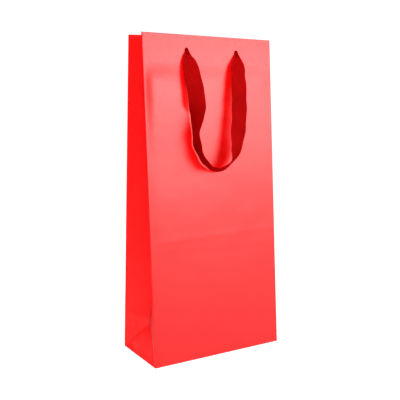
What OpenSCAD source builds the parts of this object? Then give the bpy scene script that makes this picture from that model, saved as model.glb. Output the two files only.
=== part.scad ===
// Tall paper gift bag with a gusset on each side and a ribbon handle on each wide face.
// The bag stands on its bottom. X runs across the wide faces, the front faces -Y and Z is up.
// The origin is the middle of the bottom, on the surface that the bag stands on.

/* [Bag] */
// Width of the front and back panels
bag_w = 180; // [120:1:260]
// Depth of the bottom, front to back
bag_d = 88; // [70:1:120]
// Height of a panel along its own slope, from the bottom crease to the rim
bag_h = 390; // [320:1:480]
// Distance between the two rims as the bag stands
mouth_d = 36; // [34:1:60]
// Thickness of the paper
paper_t = 0.4; // [0.3:0.05:0.5]

/* [Turned-in top] */
// Height of the stiffening card inside the turned-in paper
card_h = 40; // [32:1:60]
// Distance that the turned-in paper runs on below the card
hem_over = 4.2; // [3:0.1:12]
// Thickness of the stiffening card
card_t = 0.8; // [0.5:0.1:1.2]
// Distance of a panel's turned-in paper from its side edges
hem_inset = 8; // [8:1:20]
// Distance of the stiffening card from the ends of the turned-in paper
card_inset = 5; // [0.5:0.5:10]
// Distance of a gusset half's turned-in paper from the crease at its panel
gusset_hem_inset = 12; // [12:1:16]

/* [Handles] */
// Distance between the two punched holes of a handle
hole_pitch = 70; // [64:1:84]
// Distance of the middle of that pair of holes from the middle of its face
hole_offset = 2.8; // [0:0.1:8]
// Distance of the holes below the rim
hole_drop = 18; // [14:1:24]
// Diameter of the punched holes
hole_dia = 6; // [5.5:0.5:8]
// Diameter of the ribbon where it is bunched to pass through a hole
neck_dia = 4.4; // [3.5:0.1:5]
// Diameter of the knot that holds a ribbon end inside the bag
knot_dia = 8; // [7:0.5:9]
// Length of the loose ribbon end below its knot
tail_l = 26; // [16:1:40]
// Width of the loose ribbon end
tail_w = 14; // [8:1:18]
// Width of the ribbon
ribbon_w = 20; // [12:1:22]
// Thickness of the ribbon
ribbon_t = 0.6; // [0.4:0.1:1]

/* [Bottom] */
// Overlap of the front and back bottom flaps past the middle line
flap_overlap = 9; // [5:1:20]
// Length of the two side flaps
side_flap_l = 46; // [30:1:60]
// Narrowing of a bottom flap from its crease to its free edge, on each side
flap_taper = 4; // [2:1:8]
// Thickness of the bottom board
board_t = 1; // [0.6:0.1:1.5]
// Clearance between the bottom board and the walls
board_gap = 2; // [1.5:0.5:4]
// Width of the glued lap that closes the sheet into a tube
lap_w = 14; // [10:1:20]

/* [Motion] */
// How far each wide face turns outwards from where it stands
open_turn = 2.4; // [0.5:0.1:2.4]
// How far each wide face turns inwards from where it stands
close_turn = 1.4; // [0.5:0.1:1.4]
// Turn of a gusset half for each degree of its panel
gusset_ratio = 9.9; // [8:0.1:12]

/* [Hidden] */
$fn = 48;

paper_red = [0.86, 0.07, 0.07];
inner_red = [0.80, 0.12, 0.12];
ribbon_red = [0.66, 0.02, 0.03];
card_grey = [0.72, 0.70, 0.66];

// Clearance across a crease that folds, and between sheets that lie on each other
fold_gap = 0.3;
glue_gap = 0.15;
// Height of the lower edge of a panel above its crease line, clear of the bottom flaps
panel_lift = 0.6;
// Clearance at the middle crease of a gusset when the bag is opened or closed
crease_gap = 0.25;
// Clearance between a gusset foot and the gusset halves above it, along the slanting creases
foot_gap = 1.2;
// Height of the crease line that a gusset foot hinges on, and where its paper starts above it
foot_line_z = 0.5;
foot_start = 0.3;

// Lean of the panels towards each other, in degrees
lean = asin((bag_d - mouth_d) / 2 / bag_h);
hem_h = card_h + hem_over + 2 * paper_t;
hem_w = bag_w - 2 * hem_inset;
rim_z = bag_h * cos(lean);
hole_s = bag_h - hole_drop;
half_w = bag_w / 2;
half_d = bag_d / 2;

// A gusset half hinges on a line just inside its panel
pivot_in = 2 * paper_t + fold_gap;
gusset_half = half_d - pivot_in;
// Distance of that line from the middle plane at a height, and the fold that closes the gusset there.
// The slanting creases end half the bag's depth up, and the fold stays the same below that.
function line_y(z, turn) = gusset_half - z * tan(turn);
function fold(z) = acos(line_y(max(z, half_d), lean) / gusset_half);
// Lean of a gusset foot, whose tip meets the middle crease
foot_lean = asin(gusset_half * sin(fold(half_d)) / half_d);
// Longest half that stays clear of the middle plane as the bag opens and closes
swing_steps = 8;
swing = [for (i = [0:swing_steps]) -open_turn + i * (open_turn + close_turn) / swing_steps];
function reach(z) =
    min([for (q = swing) (line_y(z, lean + q) - crease_gap) / cos(fold(z) + gusset_ratio * q)]);
// Width of a half where it ends on the slanting crease above the foot
function slant_reach(z) =
    (z * (1 / cos(foot_lean) - tan(lean)) - pivot_in) / cos(fold(z)) - foot_gap;
function gusset_edge(z) = min(reach(z), slant_reach(z));

// Lowest ring of a gusset half, and its rings from there to the rim
gusset_z0 = 5;
gusset_rings = 32;
// A point on the left front half: u along the half from its hinge line, v into the bag
function gusset_point(z, u, v) = [
    -half_w + u * sin(fold(z)) + v * cos(fold(z)),
    -line_y(z, lean) + u * cos(fold(z)) - v * sin(fold(z)),
    z
];

// Closed skin over a stack of rings that all have the same even number of points.
// The two halves of a ring are cut along matching diagonals, so a thin sheet keeps its thickness.
module loft(rings) {
    k = len(rings[0]);
    last = len(rings) - 1;
    sides = [
        for (i = [0:last - 1], j = [0:k - 1])
            let (a = i * k + j, b = i * k + (j + 1) % k)
                for (f = j < k / 2
                    ? [[a, b, b + k], [a, b + k, a + k]]
                    : [[a, b, a + k], [b, b + k, a + k]]) f
    ];
    bottom = [
        for (j = [0:k / 2 - 2])
            for (f = [[j, k - 1 - j, k - 2 - j], [j, k - 2 - j, j + 1]]) f
    ];
    top = [for (f = bottom) [for (i = [2:-1:0]) last * k + f[i]]];
    polyhedron(
        points = [for (ring = rings, p = ring) p],
        faces = concat(bottom, sides, top),
        convexity = 6
    );
}

// Sheet along the left front gusset half between two heights. It is u0 to u1(z) wide in cols
// columns, and lies from depth v0 to v0 + paper_t behind the outer face.
module gusset_strip(z0, z1, rows, cols, u0, u1, v0) {
    loft([
        for (i = [0:rows])
            let (z = z0 + (z1 - z0) * i / rows, step = (u1(z) - u0) / cols)
                concat(
                    [for (c = [0:cols]) gusset_point(z, u0 + c * step, v0 + paper_t)],
                    [for (c = [cols:-1:0]) gusset_point(z, u0 + c * step, v0)]
                )
    ]);
}

module gusset_sheet() {
    color(paper_red)
        gusset_strip(gusset_z0, rim_z, gusset_rings, 4, fold_gap, function(z) gusset_edge(z), 0);
}

// Turned-in paper at the top of a gusset half
module gusset_hem_sheet() {
    hem_rings = 5;
    edge_inset = 1.5;
    color(inner_red)
        gusset_strip(rim_z - hem_h, rim_z - fold_gap, hem_rings, 3, gusset_hem_inset,
            function(z) gusset_edge(z) - edge_inset, paper_t + glue_gap);
}

// Glued lap inside the left front gusset half, from the top of the foot to the turned-in paper
module seam_lap() {
    lap_rings = 20;
    lap_start = 3;
    color(inner_red)
        gusset_strip(half_d + foot_gap, rim_z - hem_h - fold_gap, lap_rings, 2, lap_start,
            function(z) lap_start + lap_w, paper_t + glue_gap);
}

// Places a child on a wide face: X across, Y into the bag from the outer face, Z up the slope
module on_front() {
    translate([0, -half_d, 0]) rotate([-lean, 0, 0]) children();
}

module on_back() {
    rotate([0, 0, 180]) on_front() children();
}

module handle_holes(depth) {
    for (side = [-1, 1])
        translate([hole_offset + side * hole_pitch / 2, -1, hole_s])
            rotate([-90, 0, 0]) cylinder(d = hole_dia, h = depth + 2);
}

// Wide face with its two punched holes
module panel() {
    color(paper_red)
        difference() {
            translate([-half_w, 0, panel_lift])
                cube([bag_w, paper_t, bag_h - panel_lift]);
            handle_holes(paper_t);
        }
}

// Stiffening card behind the panel, under the turned-in paper
module hem_card() {
    card_top = bag_h - paper_t;
    color(card_grey)
        difference() {
            translate([-hem_w / 2 + card_inset, paper_t, card_top - card_h])
                cube([hem_w - 2 * card_inset, card_t, card_h]);
            handle_holes(paper_t + card_t);
        }
}

// Paper turned in over the rim: it covers the card's top edge and face, then lies on the panel
module hem() {
    card_top = bag_h - paper_t;
    card_foot = card_top - card_h;
    inner = paper_t + card_t;
    profile = [
        [paper_t, bag_h], [inner + paper_t, bag_h], [inner + paper_t, card_foot - paper_t],
        [2 * paper_t, card_foot - paper_t], [2 * paper_t, bag_h - hem_h], [paper_t, bag_h - hem_h],
        [paper_t, card_foot], [inner, card_foot], [inner, card_top], [paper_t, card_top]
    ];
    color(inner_red)
        difference() {
            translate([-hem_w / 2, 0, 0])
                rotate([90, 0, 90]) linear_extrude(height = hem_w) polygon(profile);
            handle_holes(inner + paper_t);
        }
}

// Knot that rests on the turned-in paper, with the bunched neck in the hole and a loose end
module knot() {
    seat = 2 * paper_t + card_t;
    neck_out = 1.2;
    tail_lift = 0.5;
    color(ribbon_red)
        translate([0, 0, hole_s]) {
            difference() {
                translate([0, seat + knot_dia / 2 - 1, 0]) sphere(d = knot_dia);
                translate([-knot_dia, seat - knot_dia, -knot_dia])
                    cube([2 * knot_dia, knot_dia, 2 * knot_dia]);
            }
            translate([0, -neck_out, 0])
                rotate([-90, 0, 0]) cylinder(d = neck_dia, h = seat + neck_out + 1);
            translate([-tail_w / 2, seat + tail_lift, -tail_l])
                cube([tail_w, ribbon_t, tail_l]);
        }
}

// Route of the ribbon over a wide face, from just below the left hole to just below the right one:
// across from the middle of the two holes, up from the holes, out from the face, width as a share
// of the ribbon's full width, and turn about its own length, where 0 lies flat on the face. It
// stays close to the face near the holes, so that it can swing up past the rim. It is drawn for
// holes 70 mm apart and spreads with them.
route_pitch = 70;
ribbon_route = [
    [-35, -4, 1, 0.3, 0], [-35, -8, 2, 0.6, 2], [-34, -15, 4, 0.9, 5], [-33.5, -26, 8, 1, 8],
    [-32, -40, 11, 1, 12], [-31, -54, 12.5, 1, 19], [-30.5, -67, 13, 1, 36],
    [-31, -78, 12.5, 1, 66], [-32, -88, 12, 1, 86], [-33, -99, 11.5, 1, 93],
    [-32, -110, 11.5, 1, 94], [-28.5, -121, 11.5, 1, 95], [-23, -131, 12, 1, 96],
    [-16.5, -137.5, 13, 1, 97], [-11.5, -140.5, 14.5, 1, 82], [-4.5, -141.5, 15, 1, 72],
    [3, -140, 15, 1, 67], [10, -136.5, 15, 1, 60], [15, -131, 15, 1, 48], [19, -123.5, 15, 1, 33],
    [22, -114.5, 15, 1, 17], [23.5, -105, 15, 1, 3], [25, -94, 15, 1, -5], [27, -80, 14.5, 1, -7],
    [28.5, -65, 13.5, 1, -8], [29.5, -50, 12.5, 1, -7], [31, -36, 10.5, 1, -3],
    [32.5, -24, 7.5, 1, 0], [34.5, -14, 4, 0.9, 0], [35, -4, 1, 0.3, 0]
];
route_end = len(ribbon_route) - 1;
function unit(v) = v / norm(v);
function route_point(i) =
    let (r = ribbon_route[i], across = r[0] * hole_pitch / route_pitch)
        [hole_offset + across, -r[2], hole_s + r[1]];
function route_way(i) =
    unit(route_point(min(i + 1, route_end)) - route_point(max(i - 1, 0)));
outwards = [0, -1, 0];
ribbon_sides = 8;
// Flat octagon across the ribbon at one point of its route
function ribbon_ring(i) =
    let (
        p = route_point(i), way = route_way(i),
        across = unit(cross(outwards, way)), out = cross(way, across),
        turn = ribbon_route[i][4], wide = across * cos(turn) + out * sin(turn),
        thick = cross(way, wide), w = ribbon_w * ribbon_route[i][3],
        first = 180 / ribbon_sides, steep = 90 - first
    )
    [
        for (k = [0:ribbon_sides - 1])
            let (angle = first + k * 360 / ribbon_sides)
                p + wide * w / 2 * cos(angle) / cos(first)
                    + thick * ribbon_t / 2 * sin(angle) / sin(steep)
    ];

module ribbon() {
    color(ribbon_red) loft([for (i = [0:route_end]) ribbon_ring(i)]);
}

// Plan of a bottom flap: crease along Y = 0, free edge at Y = length
module flap_plan(crease_w, length) {
    polygon([
        [-crease_w / 2, 0], [crease_w / 2, 0],
        [crease_w / 2 - flap_taper, length], [-crease_w / 2 + flap_taper, length]
    ]);
}

long_flap_w = bag_w - 2 * paper_t - 1;
long_flap_l = half_d + flap_overlap;

module front_bottom_flap() {
    color(paper_red)
        translate([0, -half_d, 0])
            linear_extrude(height = paper_t) flap_plan(long_flap_w, long_flap_l);
}

// The back flap steps up over the free edge of the front flap
module back_bottom_flap() {
    step_y = flap_overlap + fold_gap;
    profile = [
        [half_d, 0], [step_y, 0], [step_y, paper_t], [-flap_overlap, paper_t],
        [-flap_overlap, 2 * paper_t], [step_y + paper_t, 2 * paper_t],
        [step_y + paper_t, paper_t], [half_d, paper_t]
    ];
    color(paper_red)
        intersection() {
            translate([-half_w, 0, 0])
                rotate([90, 0, 90]) linear_extrude(height = bag_w) polygon(profile);
            rotate([0, 0, 180]) translate([0, -half_d, 0])
                linear_extrude(height = 3 * paper_t) flap_plan(long_flap_w, long_flap_l);
        }
}

side_flap_z = 2 * paper_t;
module left_bottom_flap() {
    side_flap_w = bag_d - 2 * board_gap;
    crease_clear = 1.6;
    color(paper_red)
        translate([-half_w + crease_clear, 0, side_flap_z])
            rotate([0, 0, -90])
                linear_extrude(height = paper_t) flap_plan(side_flap_w, side_flap_l);
}

module base_board() {
    color(card_grey)
        translate([-half_w + board_gap, -half_d + board_gap, side_flap_z + paper_t])
            cube([bag_w - 2 * board_gap, bag_d - 2 * board_gap, board_t]);
}

// Triangle at the foot of a gusset: it leans into the bag from the side crease of the bottom
module left_gusset_foot() {
    side_gap = foot_gap * sqrt(2) / 2;
    foot_half = half_d - foot_start - side_gap;
    color(paper_red)
        translate([-half_w, 0, foot_line_z]) rotate([0, foot_lean, 0])
            rotate([90, 0, 90]) linear_extrude(height = paper_t)
                polygon([[-foot_half, foot_start], [foot_half, foot_start],
                    [0, foot_start + foot_half]]);
}

module flip_x() { mirror([1, 0, 0]) children(); }
module flip_y() { mirror([0, 1, 0]) children(); }
module at_left_hole() { translate([hole_offset - hole_pitch / 2, 0, 0]) children(); }
module at_right_hole() { translate([hole_offset + hole_pitch / 2, 0, 0]) children(); }

base_board();
front_bottom_flap();
back_bottom_flap();
left_bottom_flap();
flip_x() left_bottom_flap();  // right_bottom_flap
left_gusset_foot();
flip_x() left_gusset_foot();  // right_gusset_foot
on_front() panel();  // front_panel
on_front() hem();  // front_hem
on_front() hem_card();  // front_hem_card
on_front() at_left_hole() knot();  // front_left_knot
on_front() at_right_hole() knot();  // front_right_knot
on_back() panel();  // back_panel
on_back() hem();  // back_hem
on_back() hem_card();  // back_hem_card
on_back() at_right_hole() knot();  // back_left_knot
on_back() at_left_hole() knot();  // back_right_knot
gusset_sheet();  // left_gusset_front
flip_y() gusset_sheet();  // left_gusset_back
flip_x() gusset_sheet();  // right_gusset_front
flip_x() flip_y() gusset_sheet();  // right_gusset_back
gusset_hem_sheet();  // left_front_gusset_hem
flip_y() gusset_hem_sheet();  // left_back_gusset_hem
flip_x() gusset_hem_sheet();  // right_front_gusset_hem
flip_x() flip_y() gusset_hem_sheet();  // right_back_gusset_hem
seam_lap();  // side_seam_lap
on_front() ribbon();  // front_handle
on_back() ribbon();  // back_handle
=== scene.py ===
"""Red paper gift bag with folded gussets, a turned-in rim and two ribbon handles."""

import math

import bmesh
import bpy
import numpy as np
from bpy.props import FloatProperty, FloatVectorProperty, IntProperty, PointerProperty
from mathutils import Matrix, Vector, noise


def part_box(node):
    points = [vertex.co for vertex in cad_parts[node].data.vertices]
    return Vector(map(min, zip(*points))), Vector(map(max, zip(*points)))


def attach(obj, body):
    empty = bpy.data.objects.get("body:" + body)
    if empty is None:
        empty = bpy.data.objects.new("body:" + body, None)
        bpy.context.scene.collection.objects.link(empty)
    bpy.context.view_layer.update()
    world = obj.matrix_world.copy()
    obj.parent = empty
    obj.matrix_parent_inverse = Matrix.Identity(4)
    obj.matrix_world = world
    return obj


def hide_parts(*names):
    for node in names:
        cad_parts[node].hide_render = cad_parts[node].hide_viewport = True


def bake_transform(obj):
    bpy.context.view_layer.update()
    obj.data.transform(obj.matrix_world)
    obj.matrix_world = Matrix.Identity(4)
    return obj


bl_info = {
    "name": "Gift Bag",
    "version": (1, 0, 0),
    "blender": (4, 5, 0),
    "location": "View3D > Sidebar > Gift Bag",
    "description": "Paper, ribbon, board and stage of a tall gift bag",
    "category": "Object",
}

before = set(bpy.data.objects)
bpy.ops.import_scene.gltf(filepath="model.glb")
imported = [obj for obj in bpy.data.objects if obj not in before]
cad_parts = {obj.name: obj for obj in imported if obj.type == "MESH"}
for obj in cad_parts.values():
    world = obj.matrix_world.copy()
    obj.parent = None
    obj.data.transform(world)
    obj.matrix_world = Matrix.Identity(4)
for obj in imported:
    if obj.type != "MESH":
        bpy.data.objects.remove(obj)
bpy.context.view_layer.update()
PANEL_LOW, PANEL_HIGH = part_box("front_panel")

# The ribbon's way over a wide face, from just below its left hole to just below its right one:
# across from the middle of the two holes, up from the holes, out from the face, share of the full
# width that it shows, and turn about its own length. Lengths are in metres and angles in degrees.
RIBBON_WAY = (
    (-0.035, -0.004, 0.001, 0.3, 0), (-0.035, -0.008, 0.002, 0.6, 2),
    (-0.034, -0.015, 0.004, 0.9, 5), (-0.0335, -0.026, 0.008, 1, 8),
    (-0.032, -0.040, 0.011, 1, 12), (-0.031, -0.054, 0.0125, 1, 19),
    (-0.0305, -0.067, 0.013, 1, 36), (-0.031, -0.078, 0.0125, 1, 66),
    (-0.032, -0.088, 0.012, 1, 86), (-0.033, -0.099, 0.0115, 1, 93),
    (-0.032, -0.110, 0.0115, 1, 94), (-0.0285, -0.121, 0.0115, 1, 95),
    (-0.023, -0.131, 0.012, 1, 96), (-0.0165, -0.1375, 0.013, 1, 97),
    (-0.0115, -0.1405, 0.0145, 1, 82), (-0.0045, -0.1415, 0.015, 1, 72),
    (0.003, -0.140, 0.015, 1, 67), (0.010, -0.1365, 0.015, 1, 60), (0.015, -0.131, 0.015, 1, 48),
    (0.019, -0.1235, 0.015, 1, 33), (0.022, -0.1145, 0.015, 1, 17), (0.0235, -0.105, 0.015, 1, 3),
    (0.025, -0.094, 0.015, 1, -5), (0.027, -0.080, 0.0145, 1, -7),
    (0.0285, -0.065, 0.0135, 1, -8), (0.0295, -0.050, 0.0125, 1, -7),
    (0.031, -0.036, 0.0105, 1, -3), (0.0325, -0.024, 0.0075, 1, 0),
    (0.0345, -0.014, 0.004, 0.9, 0), (0.035, -0.004, 0.001, 0.3, 0),
)
WAY_SPACING = 0.07
# The same through a hole, from inside the bag outwards: up, out and share.
THROUGH_HOLE = ((0.0004, -0.0034, 0.16), (0.0003, -0.0016, 0.15), (-0.0002, -0.0001, 0.16),
                (-0.0016, 0.0009, 0.22))


# ---------------------------------------------------------------- sizes and colours

def metres(label, text, size, low=0.0, precision=3):
    """A length for the panel."""
    return FloatProperty(name=label, description=text, default=size, min=low,
                         precision=precision, unit="LENGTH")


def tone(label, text, colour):
    """A colour for the panel."""
    return FloatVectorProperty(name=label, description=text, default=colour, size=3, min=0,
                               max=1, subtype="COLOR")


class BagSizes(bpy.types.PropertyGroup):
    """Sizes of the folded paper"""
    width: metres("Width", "Width of a wide face", PANEL_HIGH.x - PANEL_LOW.x, 0.05)
    depth: metres("Depth", "Depth of the bottom", -2 * PANEL_LOW.y, 0.02)
    mouth: metres("Mouth", "Distance between the wide faces at the rim", 0.036, 0.01)
    height: metres("Height", "Height of a wide face along its slope", 0.39, 0.05)
    paper: metres("Paper", "Thickness of the paper", 0.0004, 0.0001, 5)
    card: metres("Card", "Thickness of the card in the turned-in rim", 0.0008, 0.0002, 5)
    card_height: metres("Card Height", "Height of that card", 0.04, 0.01)
    hem_height: metres("Rim Height", "Height of the turned-in paper", 0.045, 0.012)
    hem_inset: metres("Rim Inset", "Distance of that paper from a panel's sides", 0.0055, 0.004)
    hole_drop: metres("Hole Drop", "Distance of the holes from the rim", 0.018, 0.006)
    hole_width: metres("Hole", "Diameter of a punched hole", 0.006, 0.002)
    fold_radius: metres("Fold Radius", "Radius of a crease's outer face", 0.0007, 0.0002, 5)
    lap: metres("Lap", "Width of the glued lap in the left gusset", 0.014, 0.006)
    crumple: metres("Crumple", "Height of the dents and swells", 0.00035, precision=5)
    bulge: metres("Bulge", "How far a wide face stands out just below the card", 0.0014,
                  precision=5)
    cross_fold: metres("Cross Fold", "Height of the crease across each gusset", 0.047, 0.02)


class RibbonSizes(bpy.types.PropertyGroup):
    """Sizes of the handles"""
    width: metres("Width", "Width of the ribbon", 0.02, 0.005)
    thickness: metres("Thickness", "Thickness of the ribbon", 0.0006, 0.0002, 5)
    spacing: metres("Hole Spacing", "Distance between the two holes", 0.07, 0.02)
    offset: metres("Hole Offset", "Distance of the pair of holes from a face's middle", 0.0028,
                   -0.02, 5)
    rows: IntProperty(name="Rows", description="Rows of faces along a handle", default=300,
                      min=60, max=600)
    columns: IntProperty(name="Columns", description="Columns of faces across the ribbon",
                         default=24, min=6, max=40)
    pleats: FloatProperty(name="Pleats", description="Pleats that gather the ribbon at a hole",
                          default=2.5, min=1)
    pleat_depth: metres("Pleat Depth", "Depth of those pleats", 0.0013, precision=5)
    edge_wave: metres("Edge Wave", "Height of the waves along the edges", 0.0007, precision=5)
    wave_length: metres("Wave Length", "Length of one of those waves", 0.026, 0.005)
    tail: metres("Tail", "Length of the loose end under a knot", 0.024, 0.005)


class BagLooks(bpy.types.PropertyGroup):
    """Colours and finish"""
    paper: tone("Paper", "Colour of the dyed paper", (0.82, 0.0015, 0.0015))
    worn: tone("Worn Crease", "Colour where a crease has rubbed", (0.95, 0.13, 0.10))
    ribbon: tone("Ribbon", "Colour of the ribbon", (0.22, 0.0004, 0.0006))
    board: tone("Board", "Colour of the board and card", (0.55, 0.52, 0.46))


# ---------------------------------------------------------------- the folds

CORNER_GAP = 0.0011   # from a panel's outer face to where its gusset half begins
FOOT_LINE = 0.0005    # height of the crease under a foot
GUSSET_FIN = 0.0011   # how far a gusset half runs past its own creases
FOOT_FIN = 0.0009     # how far a foot does
LAP_START = 0.003     # from the panel's crease to the glued lap
HOLE_BLOCK = 0.0066   # half the side of the square of fine faces around a hole
BACK = LEFT = -1
FRONT = RIGHT = 1
SIDES = ((FRONT, "front"), (BACK, "back"))
HANDS = ((LEFT, "left"), (RIGHT, "right"))


class Folds:
    """Where the bag's sheets and creases run, worked out from its sizes."""

    def __init__(self, bag):
        self.bag = bag
        self.half_w = bag.width / 2
        self.half_d = bag.depth / 2
        self.lean = math.asin((bag.depth - bag.mouth) / 2 / bag.height)
        self.rim = bag.height * math.cos(self.lean)
        self.half = self.half_d - CORNER_GAP
        self.foot_lean = math.asin(self.half * math.sin(float(self.fold(self.half_d)))
                                   / self.half_d)
        self.hole_up = bag.height - bag.hole_drop

    def line_y(self, z):
        return self.half - z * math.tan(self.lean)

    def fold(self, z):
        return np.arccos(np.clip(self.line_y(np.maximum(z, self.half_d)) / self.half, -1, 1))

    def middle(self, z):
        """Width of a gusset half where it meets the middle crease."""
        return self.line_y(z) / np.cos(self.fold(z))

    def slant(self, z):
        """Width of a gusset half where it meets the slanting crease over the foot."""
        rise = 1 / math.cos(self.foot_lean) - math.tan(self.lean)
        return (z * rise - CORNER_GAP) / np.cos(self.fold(z))

    def wall(self, side, across, deep, up):
        """Points on a wide face: deep goes into the bag."""
        across, deep, up = np.broadcast_arrays(across, deep, up)
        y = -self.half_d + deep * math.cos(self.lean) + up * math.sin(self.lean)
        z = up * math.cos(self.lean) - deep * math.sin(self.lean)
        return np.stack([across * side, y * side, z], axis=-1)

    def gusset(self, flank, side, u, v, z):
        """Points on a gusset half: u from its panel, v into the bag from the outer face."""
        turn = self.fold(z)
        x = -self.half_w + u * np.sin(turn) + v * np.cos(turn)
        y = -self.line_y(z) + u * np.cos(turn) - v * np.sin(turn)
        return np.stack([x * -flank, y * side, z + 0 * u], axis=-1)

    def foot(self, flank, y, v, h):
        """Points on a foot: y along its crease line, h up its slope, v into the bag."""
        x = -self.half_w + h * math.sin(self.foot_lean) + v * math.cos(self.foot_lean)
        z = FOOT_LINE + h * math.cos(self.foot_lean) - v * math.sin(self.foot_lean)
        return np.stack([x * -flank, y + 0 * x, z], axis=-1)


def settings(context):
    """The panel's three groups, with the folds that the first of them gives."""
    scene = context.scene
    return (scene.giftbag_sizes, scene.giftbag_ribbon, Folds(scene.giftbag_sizes),
            scene.giftbag_looks)


def swell(points, size, seed):
    """Smooth noise from -1 to 1 at some points, for features of that size."""
    flat = points.reshape(-1, 3) / size + seed * 7.31
    return np.array([noise.noise(Vector(p)) for p in flat]).reshape(points.shape[:-1])


def dented(a, b, dents):
    """Height of some smooth dents: the place, the two sizes and the height of each."""
    return sum(height * np.exp(-((a - a0) / a_size) ** 2 - ((b - b0) / b_size) ** 2)
               for a0, b0, a_size, b_size, height in dents)


def ramp(x, low, high):
    """Smooth step from 0 at low to 1 at high."""
    t = np.clip((x - low) / (high - low), 0, 1)
    return t * t * (3 - 2 * t)


def crease_falloff(distance, reach=0.0007):
    """Falloff next to a crease, from 1 on it to 0 away from it: the mask of worn specks and
    painted shade, and the profile of some dents.
    """
    return np.exp(-(distance / reach) ** 2)


# ---------------------------------------------------------------- sheets

def put_in_scene(name, data):
    piece = bpy.data.objects.new(name, data)
    bpy.context.scene.collection.objects.link(piece)
    return piece


def stations(low, high, step, fine=(), blocks=()):
    """Grid lines from low to high, closer at both ends and even inside each block."""
    lines = {round(low, 7), round(high, 7)}
    for offset in fine:
        lines |= {round(low + offset, 7), round(high - offset, 7)}
    edges = [low + max(fine, default=0)]
    for start, end, count in blocks:
        lines |= {round(start + (end - start) * i / count, 7) for i in range(count + 1)}
        edges += [start, end]
    edges.append(high - max(fine, default=0))
    for start, end in zip(edges[::2], edges[1::2]):
        count = max(1, round((end - start) / step))
        lines |= {round(start + (end - start) * i / count, 7) for i in range(count + 1)}
    return np.array(sorted(lines))


def grid_faces(rows, cols):
    index = np.arange(rows * cols).reshape(rows, cols)
    return np.stack([index[:-1, :-1], index[:-1, 1:], index[1:, 1:], index[1:, :-1]],
                    axis=-1).reshape(-1, 4).tolist()


def block_around(middle):
    """The even lines around a hole, for stations()."""
    return middle - HOLE_BLOCK, middle + HOLE_BLOCK, 8


def punched_grid(a_lines, b_lines, holes, radius):
    """Flat grid with round holes: the grid's square block around each hole becomes rings."""
    rows, cols = len(b_lines), len(a_lines)
    a, b = np.meshgrid(a_lines, b_lines)
    spots = np.stack([a.ravel(), b.ravel()], axis=1)
    faces = grid_faces(rows, cols)
    for ha, hb in holes:
        middle = spots[np.array(faces)].mean(axis=1)
        inside = [np.abs(m - (ha, hb)).max() < HOLE_BLOCK for m in middle]
        kept = [f for f, gone in zip(faces, inside) if not gone]
        block = np.array([f for f, gone in zip(faces, inside) if gone])
        pairs = dict.fromkeys(pair for f in block for pair in zip(f, np.roll(f, -1)))
        border = dict(k for k in pairs if (k[1], k[0]) not in pairs)
        first = next(iter(border))
        loop = [first]
        while border[loop[-1]] != first:
            loop.append(border[loop[-1]])
        angles = [math.atan2(spots[i][1] - hb, spots[i][0] - ha) for i in loop]
        outer = loop
        for r in (radius * 1.45, radius * 1.12, radius):
            ring = list(range(len(spots), len(spots) + len(loop)))
            spots = np.vstack([spots, [(ha + r * math.cos(t), hb + r * math.sin(t))
                                       for t in angles]])
            kept += [[outer[k], outer[(k + 1) % len(loop)], ring[(k + 1) % len(loop)], ring[k]]
                     for k in range(len(loop))]
            outer = ring
        used = sorted({i for f in kept for i in f})
        new = {old: i for i, old in enumerate(used)}
        spots = spots[used]
        faces = [[new[i] for i in f] for f in kept]
    return spots[:, 0], spots[:, 1], faces


def set_uv(mesh, name, flat):
    """Give each corner of a mesh its point's place on the flat sheet or ribbon."""
    layer = mesh.uv_layers.new(name=name)
    corners = np.zeros(len(mesh.loops), np.int32)
    mesh.loops.foreach_get("vertex_index", corners)
    layer.data.foreach_set("uv", flat.reshape(-1, 2)[corners].astype(np.float32).ravel())


def make_sheet(name, points, faces, uv, wear_and_shade, thickness, material, flip=False):
    """Solid sheet of paper from the points of its outer face."""
    mesh = bpy.data.meshes.new(name)
    if flip:
        faces = [f[::-1] for f in faces]
    mesh.from_pydata(points.reshape(-1, 3).tolist(), [], faces)
    if mesh.validate():
        raise RuntimeError(f"{name} has broken faces")
    set_uv(mesh, "paper", uv)
    # The crease mask marks worn specks and painted shade for the paper's material.
    mesh.attributes.new("crease", "FLOAT", "POINT").data.foreach_set(
        "value", wear_and_shade.astype(np.float32).ravel())
    mesh.materials.append(material)
    piece = put_in_scene(name, mesh)
    solid = piece.modifiers.new("thickness", "SOLIDIFY")
    solid.thickness = thickness
    solid.offset = -1
    solid.use_rim = True
    return set_shape(piece, 40)


def set_shape(piece, sharp):
    """Turn a piece's modifiers into its own mesh, shaded smooth up to an angle."""
    bpy.context.view_layer.update()
    graph = bpy.context.evaluated_depsgraph_get()
    mesh = bpy.data.meshes.new_from_object(piece.evaluated_get(graph), depsgraph=graph,
                                           preserve_all_data_layers=True)
    piece.modifiers.clear()
    piece.data = mesh
    mesh.name = piece.name
    mesh.shade_smooth()
    mesh.set_sharp_from_angle(angle=math.radians(sharp))
    return piece


# ---------------------------------------------------------------- shader sums

class Sum:
    """A value that changes over a surface, with Python's own operators for its Math nodes."""

    def __init__(self, tree, socket):
        self.tree, self.socket = tree, socket

    def math(self, operation, *others):
        node = self.tree.nodes.new("ShaderNodeMath")
        node.operation = operation
        for place, value in zip(node.inputs, others):
            join(self.tree, value, place)
        return Sum(self.tree, node.outputs[0])

    def __add__(self, other):
        return self.math("ADD", self, other)

    def __rsub__(self, other):
        return self.math("SUBTRACT", other, self)

    def __mul__(self, other):
        return self.math("MULTIPLY", self, other)

    def __truediv__(self, other):
        return self.math("DIVIDE", self, other)

    def __pow__(self, other):
        return self.math("POWER", self, other)

    __radd__ = __add__
    __rmul__ = __mul__

    def sine(self):
        return self.math("SINE", self)


def join(tree, value, place):
    """Link a Sum to a socket, or set the socket's own value."""
    if isinstance(value, Sum):
        tree.links.new(value.socket, place)
    elif place.type == "RGBA":
        place.default_value = (*value[:3], 1)
    else:
        place.default_value = value


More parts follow.
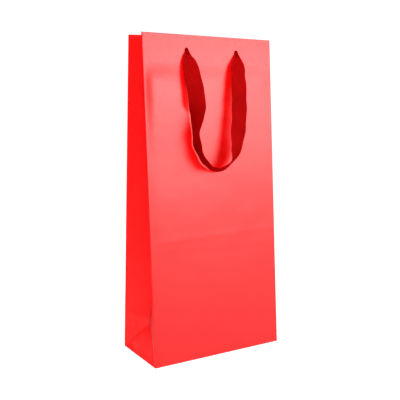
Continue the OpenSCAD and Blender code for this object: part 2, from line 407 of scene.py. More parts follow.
class Finish:
    """One material, and the nodes that make it."""

    def __init__(self, name):
        self.material = bpy.data.materials.new(name)
        self.material.use_nodes = True
        self.tree = self.material.node_tree
        self.tree.nodes.clear()

    def node(self, kind, settings=None, sockets=None, output=0):
        """Add one node: its settings first, then the values or links of its sockets."""
        made = self.tree.nodes.new(kind)
        for key, value in (settings or {}).items():
            setattr(made, key, value)
        for key, value in (sockets or {}).items():
            join(self.tree, value, made.inputs[key])
        return Sum(self.tree, made.outputs[output])

    def mix(self, factor, first, second):
        made = self.tree.nodes.new("ShaderNodeMix")
        made.data_type = "RGBA"
        join(self.tree, factor, made.inputs[0])
        join(self.tree, first, made.inputs[6])
        join(self.tree, second, made.inputs[7])
        return Sum(self.tree, made.outputs[2])

    def place(self):
        return self.node("ShaderNodeTexCoord", output="Object")

    def speckle(self, where, scale, detail=3, roughness=0.55):
        return self.node("ShaderNodeTexNoise", {"noise_dimensions": "3D"},
                         {"Vector": where, "Scale": scale, "Detail": detail,
                          "Roughness": roughness})

    def smooth(self, value, low, high):
        return self.node("ShaderNodeMapRange", {"interpolation_type": "SMOOTHSTEP"},
                         {"Value": value, "From Min": low, "From Max": high})

    def bump(self, height, distance, strength=1.0, under=None):
        sockets = {"Height": height, "Distance": distance, "Strength": strength}
        if under is not None:
            sockets["Normal"] = under
        return self.node("ShaderNodeBump", {}, sockets)

    def surface(self, **sockets):
        shader = self.tree.nodes.new("ShaderNodeBsdfPrincipled")
        for key, value in sockets.items():
            join(self.tree, value, shader.inputs[key.replace("_", " ")])
        output = self.tree.nodes.new("ShaderNodeOutputMaterial")
        self.tree.links.new(shader.outputs[0], output.inputs[0])
        return self.material


def tint(colour, factor):
    return tuple(min(1, part * factor) for part in colour)


def made_once(maker):
    """Keep a material after its first call, under its maker's name."""
    def give(looks):
        name = maker.__name__
        return bpy.data.materials.get(name) or maker(looks, Finish(name))
    return give


@made_once
def dyed_paper(looks, finish):
    """Matt dyed paper: short fibres, a cloudy dye, worn specks by its creases and painted shade
    along its creases and edges.
    """
    where = finish.place()
    cloud = finish.speckle(where, 38, 4, 0.6)
    mottle = finish.speckle(where, 420, 3, 0.6)
    fibre = finish.speckle(where, 1500, 2, 0.5)
    crease = finish.node("ShaderNodeAttribute", {"attribute_name": "crease"}, output="Fac")
    ragged = finish.smooth(finish.speckle(where, 900, 2, 0.6) * 0.9 + crease * 0.45, 0.72, 1.02)
    dye = finish.mix(finish.smooth(cloud * 0.6 + mottle * 0.4, 0.32, 0.68),
                     tint(looks.paper, 0.90), tint(looks.paper, 1.06))
    flecked = finish.mix(finish.smooth(fibre, 0.60, 0.78) * 0.04, dye, looks.worn)
    # Painted shade: the paper turns much darker along its creases and edges, where the crease
    # mask is high.
    painted_crease_shade = finish.mix(finish.smooth(crease, 0.1, 0.8) * 0.8, flecked,
                         tint(looks.paper, 0.22))
    # Worn specks: lighter ragged flecks close to the creases.
    colour = finish.mix(ragged * finish.smooth(crease, 0.02, 0.25) * 0.2, painted_crease_shade, looks.worn)
    height = fibre * 0.5 + mottle * 0.5
    return finish.surface(
        Base_Color=colour,
        Roughness=finish.smooth(mottle * 0.7 + fibre * 0.3, 0.3, 0.7) * 0.06 + 0.39,
        Specular_IOR_Level=0.2,
        Normal=finish.bump(height, 0.00006, 0.6, finish.bump(cloud, 0.0008, 0.35)),
    )


RIB_PITCH = 0.00085
THREAD_PITCH = 0.00042


@made_once
def woven_ribbon(looks, finish):
    """Ribbed ribbon: cross ribs, fine warp threads and plain woven edges, with painted shade in
    the rib valleys and painted highlights on the thread crowns.
    """
    spot = finish.node("ShaderNodeUVMap", {"uv_map": "weave"})
    split = finish.tree.nodes.new("ShaderNodeSeparateXYZ")
    join(finish.tree, spot, split.inputs[0])
    across, along = Sum(finish.tree, split.outputs[0]), Sum(finish.tree, split.outputs[1])
    wobble = finish.speckle(spot, 260, 2)
    ribs = ((along + wobble * 0.00018) * (math.tau / RIB_PITCH)).sine() * 0.5 + 0.5
    threads = ((across + wobble * 0.00008) * (math.tau / THREAD_PITCH)).sine() * 0.5 + 0.5
    edge = finish.smooth(across.math("ABSOLUTE", across), 0.0088, 0.0092)
    rib_height = ribs * (1 - edge * 0.75)
    fuzz = finish.speckle(finish.place(), 1700, 2, 0.6)
    patch = finish.speckle(spot, 45, 3)
    # Patchy tone of the dye.
    shade = finish.mix(finish.smooth(patch, 0.3, 0.7), tint(looks.ribbon, 0.86),
                       tint(looks.ribbon, 1.10))
    # Painted shade: darker in the valleys between the ribs, but not at the woven edges.
    painted_valley_shade = finish.mix((1 - rib_height) * 0.45 * (1 - edge), shade, tint(looks.ribbon, 0.45))
    # Painted highlight: lighter on the thread crowns; the fuzz gives lighter loose fibres.
    colour = finish.mix(threads * 0.12 + fuzz * 0.08, painted_valley_shade, tint(looks.ribbon, 1.6))
    return finish.surface(
        Base_Color=colour,
        Roughness=finish.smooth(fuzz, 0.3, 0.7) * 0.12 + 0.68,
        Specular_IOR_Level=0.01,
        Normal=finish.bump(rib_height + threads * 0.25 + fuzz * 0.2, 0.00012, 0.7),
    )


@made_once
def grey_board(looks, finish):
    """Recycled grey board: mixed fibres and darker flecks."""
    where = finish.place()
    pulp = finish.speckle(where, 240, 5, 0.7)
    fleck = finish.speckle(where, 1300, 2, 0.6)
    base = finish.mix(finish.smooth(pulp, 0.35, 0.65), tint(looks.board, 0.86),
                      tint(looks.board, 1.1))
    colour = finish.mix(finish.smooth(fleck, 0.62, 0.72) * 0.5, base, tint(looks.board, 0.45))
    return finish.surface(
        Base_Color=colour,
        Roughness=finish.smooth(pulp, 0.3, 0.7) * 0.1 + 0.82,
        Specular_IOR_Level=0.2,
        Normal=finish.bump(pulp + fleck * 0.4, 0.0001, 0.6),
    )


# ---------------------------------------------------------------- ribbon

def ribbon_tree(name):
    """Geometry nodes that lay a strip's points along a ribbon's way."""
    tree = bpy.data.node_groups.new(name, "GeometryNodeTree")
    ports = tree.interface
    ports.new_socket("Strip", in_out="INPUT", socket_type="NodeSocketGeometry")
    for label in ("Width", "Pleats", "Pleat Depth", "Edge Wave", "Wave Length"):
        ports.new_socket(label, in_out="INPUT", socket_type="NodeSocketFloat")
    ports.new_socket("Material", in_out="INPUT", socket_type="NodeSocketMaterial")
    ports.new_socket("Ribbon", in_out="OUTPUT", socket_type="NodeSocketGeometry")
    given = tree.nodes.new("NodeGroupInput")
    value = {s.name: Sum(tree, s) for s in given.outputs if s.name}

    def field(label, kind):
        node = tree.nodes.new("GeometryNodeInputNamedAttribute")
        node.data_type = kind
        node.inputs["Name"].default_value = label
        return Sum(tree, node.outputs["Attribute"])

    def vectors(operation, first, second):
        node = tree.nodes.new("ShaderNodeVectorMath")
        node.operation = operation
        join(tree, first, node.inputs[0])
        join(tree, second, node.inputs["Scale" if operation == "SCALE" else 1])
        return Sum(tree, node.outputs[0])

    side, share, along = field("side", "FLOAT"), field("share", "FLOAT"), field("along", "FLOAT")
    spread = side * share * value["Width"] * 0.5
    gathered = (1 - share) * value["Pleat Depth"]
    bend = side * value["Pleats"] * math.pi
    pleat = bend.math("COSINE", bend)
    wave = (along / value["Wave Length"] * math.tau + side * 1.9).sine() * value["Edge Wave"]
    wave = wave * side * side * (share ** 3.0)
    sideways = vectors("SCALE", field("wide", "FLOAT_VECTOR"), spread)
    outwards = vectors("SCALE", field("thick", "FLOAT_VECTOR"), pleat * gathered + wave)
    spot = vectors("ADD", field("centre", "FLOAT_VECTOR"), vectors("ADD", sideways, outwards))
    laid = tree.nodes.new("GeometryNodeSetPosition")
    join(tree, value["Strip"], laid.inputs["Geometry"])
    join(tree, spot, laid.inputs["Position"])
    dyed = tree.nodes.new("GeometryNodeSetMaterial")
    tree.links.new(laid.outputs[0], dyed.inputs["Geometry"])
    join(tree, value["Material"], dyed.inputs["Material"])
    result = tree.nodes.new("NodeGroupOutput")
    tree.links.new(dyed.outputs[0], result.inputs[0])
    return tree


def curve_through(points, count):
    """Even rows along a smooth curve through some rows of numbers."""
    rows = np.array(points, float)
    padded = np.vstack([2 * rows[0] - rows[1], rows, 2 * rows[-1] - rows[-2]])
    out = []
    for i in range(1, len(padded) - 2):
        p0, p1, p2, p3 = padded[i - 1:i + 3]
        t = np.linspace(0, 1, 24, endpoint=False)[:, None]
        out.append(0.5 * (2 * p1 + (p2 - p0) * t + (2 * p0 - 5 * p1 + 4 * p2 - p3) * t ** 2
                          + (3 * p1 - p0 - 3 * p2 + p3) * t ** 3))
    line = np.vstack(out + [rows[-1:]])
    gaps = np.linalg.norm(np.diff(line[:, :3], axis=0), axis=1)
    steps = np.concatenate([[0], np.cumsum(gaps)])
    even = np.linspace(0, steps[-1], count)
    laid = np.stack([np.interp(even, steps, column) for column in line.T], axis=1)
    return laid, even


def unit(v):
    return v / np.maximum(np.linalg.norm(v, axis=-1, keepdims=True), 1e-12)


def lay_ribbon(name, way, outwards, ribbon, looks, rows, taper=0.0):
    """One length of ribbon: each row of way is a point, a share of the width and a turn."""
    line, along = curve_through(way, rows + 1)
    centre, share, turn = line[:, :3], np.clip(line[:, 3], 0.05, 1), np.radians(line[:, 4])
    forward = unit(np.gradient(centre, axis=0))
    across = unit(np.cross(outwards, forward))
    out = np.cross(forward, across)
    wide = across * np.cos(turn)[:, None] + out * np.sin(turn)[:, None]
    thick = np.cross(forward, wide)
    side = np.linspace(-1, 1, ribbon.columns + 1)
    slanted = centre[:, None] + forward[:, None] * (side[None, :, None] * taper
                                                    * (along / along[-1])[:, None, None])
    mesh = bpy.data.meshes.new(name)
    grid = (rows + 1, ribbon.columns + 1)
    mesh.from_pydata(slanted.reshape(-1, 3).tolist(), [], grid_faces(*grid))
    per_row = {"centre": slanted, "wide": np.broadcast_to(wide[:, None], (*grid, 3)),
               "thick": np.broadcast_to(thick[:, None], (*grid, 3)),
               "share": np.broadcast_to(share[:, None], grid),
               "side": np.broadcast_to(side[None], grid),
               "along": np.broadcast_to(along[:, None], grid)}
    for label, values in per_row.items():
        kind, field = ("FLOAT_VECTOR", "vector") if values.ndim == 3 else ("FLOAT", "value")
        mesh.attributes.new(label, kind, "POINT").data.foreach_set(
            field, np.ascontiguousarray(values, np.float32).ravel())
    flat = np.stack([per_row["side"] * ribbon.width / 2, per_row["along"]], axis=-1)
    set_uv(mesh, "weave", flat)
    piece = put_in_scene(name, mesh)
    tree = bpy.data.node_groups.get("ribbon_way") or ribbon_tree("ribbon_way")
    layer_nodes = piece.modifiers.new("way", "NODES")
    layer_nodes.node_group = tree
    wanted = {"Width": ribbon.width, "Pleats": ribbon.pleats, "Pleat Depth": ribbon.pleat_depth,
              "Edge Wave": ribbon.edge_wave, "Wave Length": ribbon.wave_length,
              "Material": woven_ribbon(looks)}
    for item in tree.interface.items_tree:
        if item.in_out == "INPUT" and item.name in wanted:
            layer_nodes[item.identifier] = wanted[item.name]
    solid = piece.modifiers.new("thickness", "SOLIDIFY")
    solid.thickness = ribbon.thickness
    solid.offset = 0
    set_shape(piece, 50)
    for label in per_row:
        spare = piece.data.attributes.get(label)
        if spare is not None:
            piece.data.attributes.remove(spare)
    return piece


class GIFTBAG_OT_handles(bpy.types.Operator):
    """Lay a ribbon handle over each wide face"""
    bl_idname = "giftbag.handles"
    bl_label = "Ribbon Handles"

    def execute(self, context):
        _, ribbon, folds, looks = settings(context)
        spread, shift = ribbon.spacing / WAY_SPACING, ribbon.offset
        start, end = RIBBON_WAY[0][0], RIBBON_WAY[-1][0]
        rows = ([(start, *at, 0) for at in THROUGH_HOLE] + list(RIBBON_WAY[1:-1])
                + [(end, *at, 0) for at in THROUGH_HOLE[::-1]])
        for side, label in SIDES:
            def spot(across, up, out):
                return tuple(folds.wall(side, across * spread + shift, -out,
                                        folds.hole_up + up))

            outwards = folds.wall(side, 0, -1, 0) - folds.wall(side, 0, 0, 0)
            piece = lay_ribbon(f"{label}_ribbon_handle",
                               [(*spot(*row[:3]), *row[3:]) for row in rows], outwards, ribbon,
                               looks, ribbon.rows)
            path = [spot(*row[:3]) for row in ((start, 0, 0), *RIBBON_WAY, (end, 0, 0))]
            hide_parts(f"{label}_handle")
            still = folds.wall(side, 0, -0.001, folds.hole_up - 0.0008)
            swung = folds.wall(side, 0, -0.003, folds.hole_up - 0.011)
            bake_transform(piece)
        return {"FINISHED"}


TAIL_ROWS = 48
KNOT_SIZE = (0.00105, 0.00105, 0.0016)


def trefoil():
    """Points of a ribbon's knot, about the middle of the knot, and their places on the ribbon."""
    t = np.linspace(0, math.tau, 97)[:-1]
    loop = np.stack([np.sin(t) + 2 * np.sin(2 * t), np.cos(t) - 2 * np.cos(2 * t),
                     -np.sin(3 * t)], axis=1) * KNOT_SIZE
    forward = unit(np.roll(loop, -1, 0) - np.roll(loop, 1, 0))
    lift = unit(np.cross(forward, unit(loop + (0, 0, 1e-6))))
    beside = np.cross(lift, forward)
    angle = np.linspace(0, math.tau, 15)[:-1]
    crinkle = 1 + 0.10 * np.sin(angle * 5)[None, :, None]
    tube = (loop[:, None] + lift[:, None] * np.cos(angle)[None, :, None] * 0.0016
            * crinkle + beside[:, None] * np.sin(angle)[None, :, None] * 0.00085)
    return tube, np.stack(np.meshgrid(np.sin(angle) * 0.0085, t * 0.0055), axis=-1)


class GIFTBAG_OT_knots(bpy.types.Operator):
    """Tie a knot with a loose end inside each punched hole"""
    bl_idname = "giftbag.knots"
    bl_label = "Ribbon Knots"

    def execute(self, context):
        bag, ribbon, folds, looks = settings(context)
        seat = 2 * bag.paper + bag.card
        tube, flat = trefoil()
        rows, cols = tube.shape[:2]
        index = np.arange(rows * cols).reshape(rows, cols)
        ahead, beside = np.roll(index, -1, 0), np.roll(index, -1, 1)
        faces = np.stack([index, beside, np.roll(ahead, -1, 1), ahead], -1).reshape(-1, 4)
        for side, wall in SIDES:
            outwards = folds.wall(side, 0, 1, 0) - folds.wall(side, 0, 0, 0)
            for flank, hand in HANDS:
                across = ribbon.offset + flank * ribbon.spacing / 2 * side
                points = folds.wall(side, across + tube[..., 0], seat + 0.0031 + tube[..., 2],
                                    folds.hole_up + tube[..., 1])
                mesh = bpy.data.meshes.new(f"{wall}_{hand}_ribbon_knot")
                mesh.from_pydata(points.reshape(-1, 3).tolist(), [], faces.tolist())
                set_uv(mesh, "weave", flat)
                mesh.materials.append(woven_ribbon(looks))
                knot = put_in_scene(mesh.name, mesh)
                outward_faces(mesh)
                mesh.shade_smooth()
                lean_to = 0.0015 * flank * side
                # Each row: share of the lean, depth past the card, height, share and turn.
                way = [(*folds.wall(side, across + lean_to * lean, seat + deep,
                                    folds.hole_up + up), share, turn)
                       for lean, deep, up, share, turn in
                       ((0, 0.0030, -0.0010, 0.16, 0), (0, 0.0040, -0.0050, 0.30, 0),
                        (0.5, 0.0030, -0.0100, 0.62, 2), (1, 0.0020, -0.0160, 0.85, -3),
                        (1.6, 0.0016, -ribbon.tail, 0.90, 4))]
                tail = lay_ribbon(f"{wall}_{hand}_ribbon_tail", way, outwards, ribbon, looks,
                                  TAIL_ROWS, taper=0.0022 * flank)
                for piece in (knot, tail):
                    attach(piece, f"{wall}_wall")
                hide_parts(f"{wall}_{hand}_knot")
        return {"FINISHED"}


def outward_faces(mesh):
    """Point a closed mesh's faces outwards."""
    work = bmesh.new()
    work.from_mesh(mesh)
    bmesh.ops.recalc_face_normals(work, faces=work.faces)
    work.to_mesh(mesh)
    work.free()


# ---------------------------------------------------------------- paper

def panel_profile(folds, p):
    """Across and deep of a wide face's outer line, with a rounded fold at each side."""
    radius = folds.bag.fold_radius
    flat = folds.half_w - radius
    past = np.maximum(np.abs(p) - flat, 0)
    turn = np.minimum(past / radius, math.pi / 2)
    across = np.minimum(np.abs(p), flat) + radius * np.sin(turn)
    deep = radius * (1 - np.cos(turn)) + np.maximum(past - radius * math.pi / 2, 0)
    return np.sign(p) * across, deep


# Across, up, the size both ways and the height, in metres and as a share of the crumple.
PANEL_DENTS = (
    (-0.082, 0.018, 0.006, 0.009, 1.1), (-0.074, 0.024, 0.005, 0.006, -0.8),
    (-0.072, 0.330, 0.010, 0.004, -0.7), (0.040, 0.012, 0.014, 0.004, 0.5),
)
GUSSET_DENTS = (
    (0.026, 0.030, 0.006, 0.005, 1.8), (0.018, 0.034, 0.004, 0.004, -1.2),
    (0.030, 0.330, 0.012, 0.010, 0.6),
)
FOOT_DENTS = ((0.024, 0.007, 0.006, 0.004, 1.5),)
# Up, rise across the face, size and height of the faint lines over a wide face.
PANEL_CREASES = ((0.150, 0.02, 0.004, 0.30), (0.128, -0.03, 0.005, -0.25))


class GIFTBAG_OT_panels(bpy.types.Operator):
    """Fold the two wide faces, with their punched holes"""
    bl_idname = "giftbag.panels"
    bl_label = "Wide Faces"

    def execute(self, context):
        bag, ribbon, folds, looks = settings(context)
        half = folds.half_w - bag.fold_radius * (1 - math.pi / 2) + (CORNER_GAP - bag.fold_radius)
        fine = (0.0003, 0.0006, 0.0009, 0.0012, 0.0016, 0.0022, 0.003, 0.0042, 0.006)
        holes = [(ribbon.offset + sign * ribbon.spacing / 2, folds.hole_up) for sign in (-1, 1)]
        p_lines = stations(-half, half, 0.003, fine, [block_around(h) for h, _ in holes])
        s_lines = stations(0.00042, bag.height - 0.0005, 0.003, fine,
                           [block_around(folds.hole_up)])
        for side, label in SIDES:
            p, s, faces = punched_grid(p_lines, s_lines, holes, bag.hole_width / 2)
            across, deep = panel_profile(folds, p)
            free = (ramp(folds.half_w - np.abs(p), 0.0005, 0.014) * ramp(s, 0.0005, 0.020)
                    * ramp(bag.height - bag.hem_height - s, -0.002, 0.016))
            flat = np.stack([p, 0 * p + 0.3 * side, s], axis=-1)
            waves = swell(flat, 0.085, 1 + side) * 1.5 + swell(flat, 0.034, 5 + side) * 0.45
            dents = dented(p, s, PANEL_DENTS) + sum(
                height * crease_falloff(s - up - rise * p, size)
                for up, rise, size, height in PANEL_CREASES)
            below = bag.height - bag.card_height - s
            bulge = (ramp(below, -0.008, 0.014) * (1 - 0.8 * ramp(below, 0.014, 0.110))
                     * ramp(folds.half_w - np.abs(p), 0.0005, 0.012)
                     * (0.7 - p / folds.half_w * 0.4))
            lift = free * (waves + dents) * bag.crumple + bulge * bag.bulge
            points = folds.wall(side, across, deep - lift, s)
            edge = np.abs(half - CORNER_GAP * 0.7 - np.abs(p))
            # Crease mask for worn specks and painted shade: full along the bottom edge, strong at
            # the top fold, faint along the sides.
            wear_and_shade = np.maximum(crease_falloff(edge, 0.0010) * 0.25, crease_falloff(s - 0.0004, 0.0014))
            wear_and_shade = np.maximum(wear_and_shade, crease_falloff(bag.height - s, 0.0009) * 0.9)
            piece = make_sheet(f"{label}_wide_face", points, faces, np.stack([p, s], -1), wear_and_shade,
                               bag.paper, dyed_paper(looks))
            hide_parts(f"{label}_panel")
            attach(piece, f"{label}_wall")
        return {"FINISHED"}


class GIFTBAG_OT_rims(bpy.types.Operator):
    """Turn the rim's paper in over the card, with the punched holes through it"""
    bl_idname = "giftbag.rims"
    bl_label = "Turned-in Rims"

    def execute(self, context):
        bag, ribbon, folds, looks = settings(context)
        radius = bag.paper + bag.card / 2
        over = math.pi * radius
        short = 0.0003
        card_down = bag.paper * 2 + bag.card_height - radius
        slope = 0.003
        length = short + over + bag.hem_height - radius
        hole_q = short + over + bag.hole_drop - radius
        half = folds.half_w - bag.hem_inset
        holes = [(ribbon.offset + sign * ribbon.spacing / 2, hole_q) for sign in (-1, 1)]
        a_lines = stations(-half, half, 0.004, (0.0006, 0.0015, 0.003),
                           [block_around(h) for h, _ in holes])
        q_lines = stations(0, length, 0.003, (0.0006, 0.0015),
                           [(short, short + over, 10), block_around(hole_q),
                            (short + over + card_down - 0.001,
                             short + over + card_down + slope, 5)])
        for side, label in SIDES:
            a, q, faces = punched_grid(a_lines, q_lines, holes, bag.hole_width / 2)
            turn = np.clip((q - short) / radius, 0, math.pi)
            down = np.maximum(q - short - over, 0)
            deep = radius * (1 - np.cos(turn)) - bag.card * ramp(
                down, card_down, card_down + slope)
            up = (bag.height - radius + radius * np.sin(turn) - down
                  - np.maximum(short - q, 0))
            flat = np.stack([a, 0 * a + 0.7 * side, up], -1)
            ease = swell(flat, 0.05, 3 + side) * 0.00008
            points = folds.wall(side, a, deep + 0.00001 + ease * ramp(down, 0.004, 0.01), up)
            # Crease mask for worn specks and painted shade: along the top fold, faint at the
            # lower edge.
            wear_and_shade = np.maximum(crease_falloff(q - short - over / 2, 0.0009), 0.25 * crease_falloff(length - q))
            piece = make_sheet(f"{label}_turned_in_rim", points, faces, np.stack([a, q], -1),
                               wear_and_shade, bag.paper, dyed_paper(looks))
            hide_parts(f"{label}_hem")
            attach(piece, f"{label}_wall")
        return {"FINISHED"}


def half_blend(piece):
    """Bake a piece's place into its mesh: a gusset half's points already turn fully at the rim,
    and ever less towards the bottom.
    """
    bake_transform(piece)


class GIFTBAG_OT_gussets(bpy.types.Operator):
    """Fold the four gusset halves between the wide faces"""
    bl_idname = "giftbag.gussets"
    bl_label = "Gusset Halves"

    def execute(self, context):
        bag, _, folds, looks = settings(context)
        tip = folds.half_d * math.cos(folds.foot_lean)
        z = np.concatenate([np.linspace(0.0014, tip + 0.002, 46)[:-1],
                            np.linspace(tip + 0.002, folds.rim - 0.012, 110)[:-1],
                            folds.rim - np.array([0.012, 0.009, 0.006, 0.004, 0.0025, 0.0015,
                                                  0.001, 0.0005, 0])])
        share = np.array([0, .006, .013, .022, .034, .05, .075, *np.linspace(.1, .9, 17),
                          .925, .945, .96, .972, .981, .988, .994, 1])
        for flank, hand in HANDS:
            for side, wall in SIDES:
                width = np.minimum(folds.middle(z), folds.slant(z)) + GUSSET_FIN
                u = share[None] * width[:, None]
                zz = np.broadcast_to(z[:, None], u.shape)
                free = (ramp(u, 0.001, 0.012) * ramp(width[:, None] - u, 0.001, 0.012)
                        * ramp(folds.rim - zz, 0.0, 0.03))
                flat = np.stack([u, 0 * u + 0.4 * side + 0.9 * flank, zz], -1)
                waves = swell(flat, 0.060, 11) * 1.3 + swell(flat, 0.022, 12) * 0.5
                lap_edge = ramp(u, bag.lap + 0.0018, bag.lap + 0.0042) - 1
                lap = lap_edge * 0.35 * ramp(folds.rim - bag.hem_height - zz, 0, 0.02) * (
                    (flank, side) == (LEFT, FRONT))
                dents = (dented(u, zz, GUSSET_DENTS)
                         - crease_falloff(zz - bag.cross_fold, 0.0022) * 0.9)
                deep = free * (waves + dents + lap) * bag.crumple * 1.4
                points = folds.gusset(flank, side, u, deep, zz)
                slanting = (width - GUSSET_FIN - folds.slant(z) > -1e-6)[:, None]
                crease = (width[:, None] - GUSSET_FIN) - u
                # Crease mask for worn specks and painted shade: along the creases and the rim.
                wear_and_shade = np.maximum(crease_falloff(u, 0.0009) * 0.3,
                                  np.where(slanting, crease_falloff(crease, 0.0007) * 0.2,
                                           crease_falloff(crease, 0.0009) * 0.55))
                wear_and_shade = np.maximum(wear_and_shade, crease_falloff(folds.rim - zz, 0.0009) * 0.9)
                piece = make_sheet(f"{hand}_{wall}_gusset_half", points,
                                   grid_faces(*u.shape), np.stack([u, zz], -1), wear_and_shade, bag.paper,
                                   dyed_paper(looks), flip=(flank * side < 0))
                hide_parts(f"{hand}_gusset_{wall}")
                half_blend(piece)
        return {"FINISHED"}


class GIFTBAG_OT_gusset_rims(bpy.types.Operator):
    """Turn the gussets' paper in at the rim, and glue the lap inside the left one"""
    bl_idname = "giftbag.gusset_rims"
    bl_label = "Gusset Rims and Lap"

    def execute(self, context):
        bag, _, folds, looks = settings(context)
        radius = bag.paper
        over = math.pi * radius
        short = 0.0004
        length = short + over + bag.hem_height - radius
        q = np.concatenate([[0], np.linspace(short, short + over, 8),
                            np.linspace(short + over, length, 18)[1:]])
        turn = np.clip((q - short) / radius, 0, math.pi)
        down = np.maximum(q - short - over, 0)
        z = folds.rim - radius + radius * np.sin(turn) - down - np.maximum(short - q, 0)
        deep = radius * (1 - np.cos(turn)) + 0.00002
        for flank, hand in HANDS:
            for side, wall in SIDES:
                start = 0.009
                share = np.linspace(0, 1, 15)
                end = folds.middle(z) - 0.0003
                u = start + share[None] * (end - start)[:, None]
                points = folds.gusset(flank, side, u, deep[:, None] + 0 * u, z[:, None] + 0 * u)
                # Crease mask for worn specks and painted shade along the top fold.
                wear_and_shade = crease_falloff(q - short - over / 2)[:, None] + 0 * u
                piece = make_sheet(f"{hand}_{wall}_gusset_rim", points, grid_faces(*u.shape),
                                   np.stack([u, q[:, None] + 0 * u], -1), wear_and_shade, bag.paper * 0.9,
                                   dyed_paper(looks), flip=(flank * side < 0))
                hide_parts(f"{hand}_{wall}_gusset_hem")
                half_blend(piece)
        z = np.linspace(folds.half_d + 0.0012, folds.rim - bag.hem_height - 0.0003, 90)
        u = LAP_START + np.linspace(0, 1, 9)[None] * bag.lap + 0 * z[:, None]
        zz = z[:, None] + 0 * u
        points = folds.gusset(LEFT, FRONT, u, bag.paper * 2 + 0.0001 + 0 * u, zz)
        edge = np.minimum(u - LAP_START, LAP_START + bag.lap - u)
        # Its edges get worn specks and painted shade.
        lap = make_sheet("glued_side_lap", points, grid_faces(*u.shape),
                         np.stack([u, zz], -1), crease_falloff(edge, 0.0008) * 0.4, bag.paper,
                         dyed_paper(looks))
        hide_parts("side_seam_lap")
        half_blend(lap)
        return {"FINISHED"}


class GIFTBAG_OT_feet(bpy.types.Operator):
    """Fold the two triangular feet under the gussets"""
    bl_idname = "giftbag.feet"
    bl_label = "Gusset Feet"

    def execute(self, context):
        bag, _, folds, looks = settings(context)
        h = np.concatenate([[-0.0001, 0.0003, 0.0007, 0.0012, 0.002],
                            np.linspace(0.003, folds.half_d - 0.001, 34),
                            [folds.half_d - 0.0003, folds.half_d + FOOT_FIN * 0.6]])
        share = np.array([-1, -.99, -.975, -.955, -.93, *np.linspace(-.9, .9, 31),
                          .93, .955, .975, .99, 1])
        for flank, hand in HANDS:
            width = np.clip(folds.half_d - h + FOOT_FIN, 0.0003, folds.half_d - 0.0006)
            y = share[None] * width[:, None]
            hh = h[:, None] + 0 * y
            away = np.maximum(folds.half_d - hh - np.abs(y), 0) * math.sqrt(0.5)
            free = ramp(away, 0.0005, 0.008) * ramp(hh, 0.0005, 0.008)
            flat = np.stack([y, 0 * y + 1.7 * flank, hh], -1)
            dents = swell(flat, 0.03, 21) * 1.2 + dented(y, hh, FOOT_DENTS)
            points = folds.foot(flank, y, free * dents * bag.crumple, hh)
            # Crease mask for worn specks and painted shade: strong along the bottom crease, faint
            # along the slant.
            wear_and_shade = np.maximum(crease_falloff(away, 0.0007) * 0.2, crease_falloff(hh, 0.0007) * 0.8)
            piece = make_sheet(f"{hand}_foot", points, grid_faces(*y.shape),
                               np.stack([y, hh], -1), wear_and_shade, bag.paper, dyed_paper(looks),
                               flip=(flank == LEFT))
            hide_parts(f"{hand}_gusset_foot")
            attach(piece, f"{hand}_foot")
        return {"FINISHED"}


class GIFTBAG_OT_boards(bpy.types.Operator):
    """Finish the bottom's flaps, its board and the cards in the rim"""
    bl_idname = "giftbag.boards"
    bl_label = "Bottom and Cards"

    def execute(self, context):
        looks = context.scene.giftbag_looks
        for name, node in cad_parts.items():
            if name.endswith("_flap"):
                paint(node, dyed_paper(looks))
            elif name == "base_board" or name.endswith("_card"):
                paint(node, grey_board(looks))
        return {"FINISHED"}


def paint(node, material):
    if not node.material_slots:
        raise RuntimeError(f"{node.name} has no material slot")
    for place in node.material_slots:
        place.material = material


# ---------------------------------------------------------------- stage

CAMERA_PLACE = (-0.41485, -0.68575, 0.3005)
CAMERA_DOWN, CAMERA_TURN = 7.94, -31.03
CAMERA_LENS, CAMERA_SENSOR = 57.555, 36
LIGHTS_AIM = (0, -0.03, 0.22)
FLOOR_RADIUS = 0.9
FLOOR_GLOW = 0.3
BACKDROP = 1.1
STUDIO_GLOW = 0.04
# Name, azimuth from straight ahead and elevation in degrees, distance, width and height in
# metres, watts per square metre on the bag, and whether it only shows as gloss.
STUDIO_LIGHTS = (
    ("key", 36, 12, 1.5, 1.4, 0.6, 5.0, False),
    ("key_gloss", 24, 14, 1.5, 0.9, 0.5, 3.9, True),
    ("high_left", -45, 55, 1.6, 1.0, 1.0, 5.0, False),
    ("overhead", 175, 68, 2.3, 2.2, 2.2, 0.8, False),
)


def soft_light(name, azimuth, elevation, distance, width, height, power, gloss):
    """An oval soft light that gives the middle of the bag that much light."""
    turn, rise = math.radians(azimuth), math.radians(elevation)
    way = Vector((math.sin(turn) * math.cos(rise), -math.cos(turn) * math.cos(rise),
                  math.sin(rise)))
    light = bpy.data.lights.new(name, "AREA")
    light.shape = "ELLIPSE"
    light.size, light.size_y = width, height
    light.energy = power * math.pi * distance ** 2
    lamp = put_in_scene(name, light)
    lamp.visible_diffuse = not gloss
    lamp.location = Vector(LIGHTS_AIM) + way * distance
    lamp.rotation_euler = way.to_track_quat("Z", "Y").to_euler()


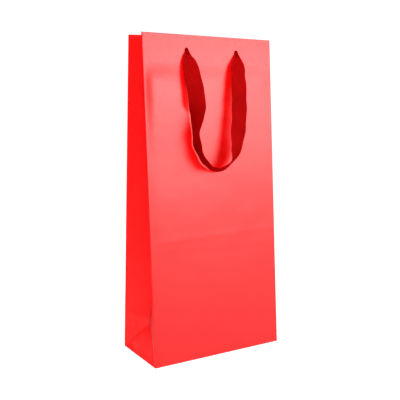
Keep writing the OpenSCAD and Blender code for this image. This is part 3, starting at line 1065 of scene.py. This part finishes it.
class GIFTBAG_OT_stage(bpy.types.Operator):
    """Set the floor, the soft lights and the camera"""
    bl_idname = "giftbag.stage"
    bl_label = "Stage"

    def execute(self, context):
        scene = context.scene
        camera = bpy.data.cameras.new("camera")
        camera.lens, camera.sensor_width = CAMERA_LENS, CAMERA_SENSOR
        camera.clip_start = 0.01
        view = put_in_scene("camera", camera)
        view.location = CAMERA_PLACE
        view.rotation_euler = (math.radians(90 - CAMERA_DOWN), 0, math.radians(CAMERA_TURN))
        scene.camera = view

        around = np.linspace(0, math.tau, 97)[:-1]
        rim = [(FLOOR_RADIUS * math.cos(t), FLOOR_RADIUS * math.sin(t), -0.0002)
               for t in around]
        mesh = bpy.data.meshes.new("floor")
        mesh.from_pydata(rim, [], [range(len(rim))])
        floor = put_in_scene("floor", mesh)
        finish = Finish("pale_floor")
        grain = finish.speckle(finish.place(), 30, 3)
        seen = finish.node("ShaderNodeLightPath", {}, output="Is Camera Ray")
        mesh.materials.append(finish.surface(
            Base_Color=finish.mix(grain, (0.90, 0.90, 0.90), (0.93, 0.93, 0.93)), Roughness=0.9,
            Emission_Color=finish.mix(seen, (0, 0, 0), (1, 1, 1)),
            Emission_Strength=FLOOR_GLOW))

        world = bpy.data.worlds.new("studio")
        world.use_nodes = True
        tree = world.node_tree
        backdrop = tree.nodes["Background"]
        seen = Sum(tree, tree.nodes.new("ShaderNodeLightPath").outputs["Is Camera Ray"])
        join(tree, seen * (BACKDROP - STUDIO_GLOW) + STUDIO_GLOW, backdrop.inputs["Strength"])
        backdrop.inputs["Color"].default_value = (1, 1, 1, 1)
        scene.world = world
        for light in STUDIO_LIGHTS:
            soft_light(*light)
        scene.view_settings.view_transform = "Standard"
        return {"FINISHED"}


class GIFTBAG_PT_panel(bpy.types.Panel):
    """Sizes, colours and pieces of the gift bag"""
    bl_idname = "GIFTBAG_PT_panel"
    bl_label = "Gift Bag"
    bl_space_type = "VIEW_3D"
    bl_region_type = "UI"
    bl_category = "Gift Bag"

    def draw(self, context):
        column = self.layout.column()
        for group in (context.scene.giftbag_sizes, context.scene.giftbag_ribbon,
                      context.scene.giftbag_looks):
            for name in group.__annotations__:
                column.prop(group, name)
        for step in STEPS:
            column.operator(step.bl_idname)


STEPS = (GIFTBAG_OT_stage, GIFTBAG_OT_handles, GIFTBAG_OT_knots, GIFTBAG_OT_panels,
         GIFTBAG_OT_rims, GIFTBAG_OT_gussets, GIFTBAG_OT_gusset_rims, GIFTBAG_OT_feet,
         GIFTBAG_OT_boards)
GROUPS = {"giftbag_sizes": BagSizes, "giftbag_ribbon": RibbonSizes, "giftbag_looks": BagLooks}


def register():
    for group in GROUPS.values():
        bpy.utils.register_class(group)
    for step in (*STEPS, GIFTBAG_PT_panel):
        bpy.utils.register_class(step)
    for name, group in GROUPS.items():
        setattr(bpy.types.Scene, name, PointerProperty(type=group))


def unregister():
    for name in GROUPS:
        delattr(bpy.types.Scene, name)
    for step in (GIFTBAG_PT_panel, *reversed(STEPS)):
        bpy.utils.unregister_class(step)
    for group in reversed(GROUPS.values()):
        bpy.utils.unregister_class(group)


def main():
    register()
    for step in STEPS:
        getattr(bpy.ops.giftbag, step.bl_idname.split(".")[1])()


if __name__ == "__main__":
    main()
